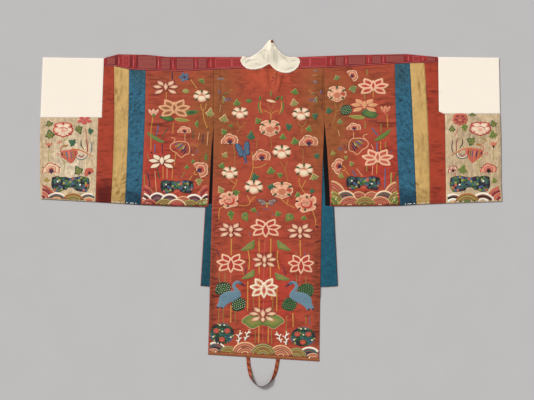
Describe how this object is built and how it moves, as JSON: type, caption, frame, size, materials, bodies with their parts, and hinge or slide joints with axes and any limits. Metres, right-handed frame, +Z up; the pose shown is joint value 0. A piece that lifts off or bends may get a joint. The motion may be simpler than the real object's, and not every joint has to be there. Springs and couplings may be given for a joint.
{
  "type": "korean bridal robe",
  "caption": "Korean bridal robe in embroidered silk, laid flat with its back up, with wide striped sleeves, a white collar and a tape loop at the hem.",
  "frame": {"origin": "on the surface that the robe lies on, at the middle of its bounding box", "axes": "+X across the sleeves to the right of someone looking down on the back, +Y up the back towards the collar, +Z up from the surface"},
  "size_m": [1.7798, 1.3371, 0.014],
  "materials": {
    "red_silk": "dull red silk satin, embroidered, faded to brown near the shoulders",
    "strip_red": "plain red silk, soft sheen",
    "crimson_band": "crimson patterned silk, worn",
    "yellow_silk": "yellow ochre silk, soft sheen",
    "blue_silk": "blue silk, mottled",
    "teal_lining": "teal blue silk lining, mottled",
    "cream_silk": "cream silk, embroidered",
    "white_cover": "plain white cloth, matt",
    "ivory_collar": "stiff ivory white cloth, matt",
    "dark_facing": "near-black cloth, matt",
    "hem_tape": "orange-brown silk tape"
  },
  "bodies": {
    "root": {"back_panel": "red_silk", "collar": "ivory_collar", "collar_mouth": "hem_tape", "cuff_cover_left": "white_cover", "cuff_cover_right": "white_cover", "front_lining_left": "teal_lining", "front_lining_right": "teal_lining", "front_panel_left": "red_silk", "front_panel_right": "red_silk", "hem_binding": "hem_tape", "hem_loop": "hem_tape", "neckband_back": "strip_red", "neckband_front_left": "strip_red", "neckband_front_right": "strip_red", "shoulder_band_left": "crimson_band", "shoulder_band_right": "crimson_band", "sleeve_blue_strip_back_left": "blue_silk", "sleeve_blue_strip_back_right": "blue_silk", "sleeve_blue_strip_front_left": "blue_silk", "sleeve_blue_strip_front_right": "blue_silk", "sleeve_cuff_back_left": "cream_silk", "sleeve_cuff_back_right": "cream_silk", "sleeve_cuff_front_left": "cream_silk", "sleeve_cuff_front_right": "cream_silk", "sleeve_panel_back_left": "red_silk", "sleeve_panel_back_right": "red_silk", "sleeve_panel_front_left": "red_silk", "sleeve_panel_front_right": "red_silk", "sleeve_red_strip_back_left": "strip_red", "sleeve_red_strip_back_right": "strip_red", "sleeve_red_strip_front_left": "strip_red", "sleeve_red_strip_front_right": "strip_red", "sleeve_yellow_strip_back_left": "yellow_silk", "sleeve_yellow_strip_back_right": "yellow_silk", "sleeve_yellow_strip_front_left": "yellow_silk", "sleeve_yellow_strip_front_right": "yellow_silk", "slit_facing_left": "dark_facing", "slit_facing_right": "dark_facing"}
  },
  "joints": []
}
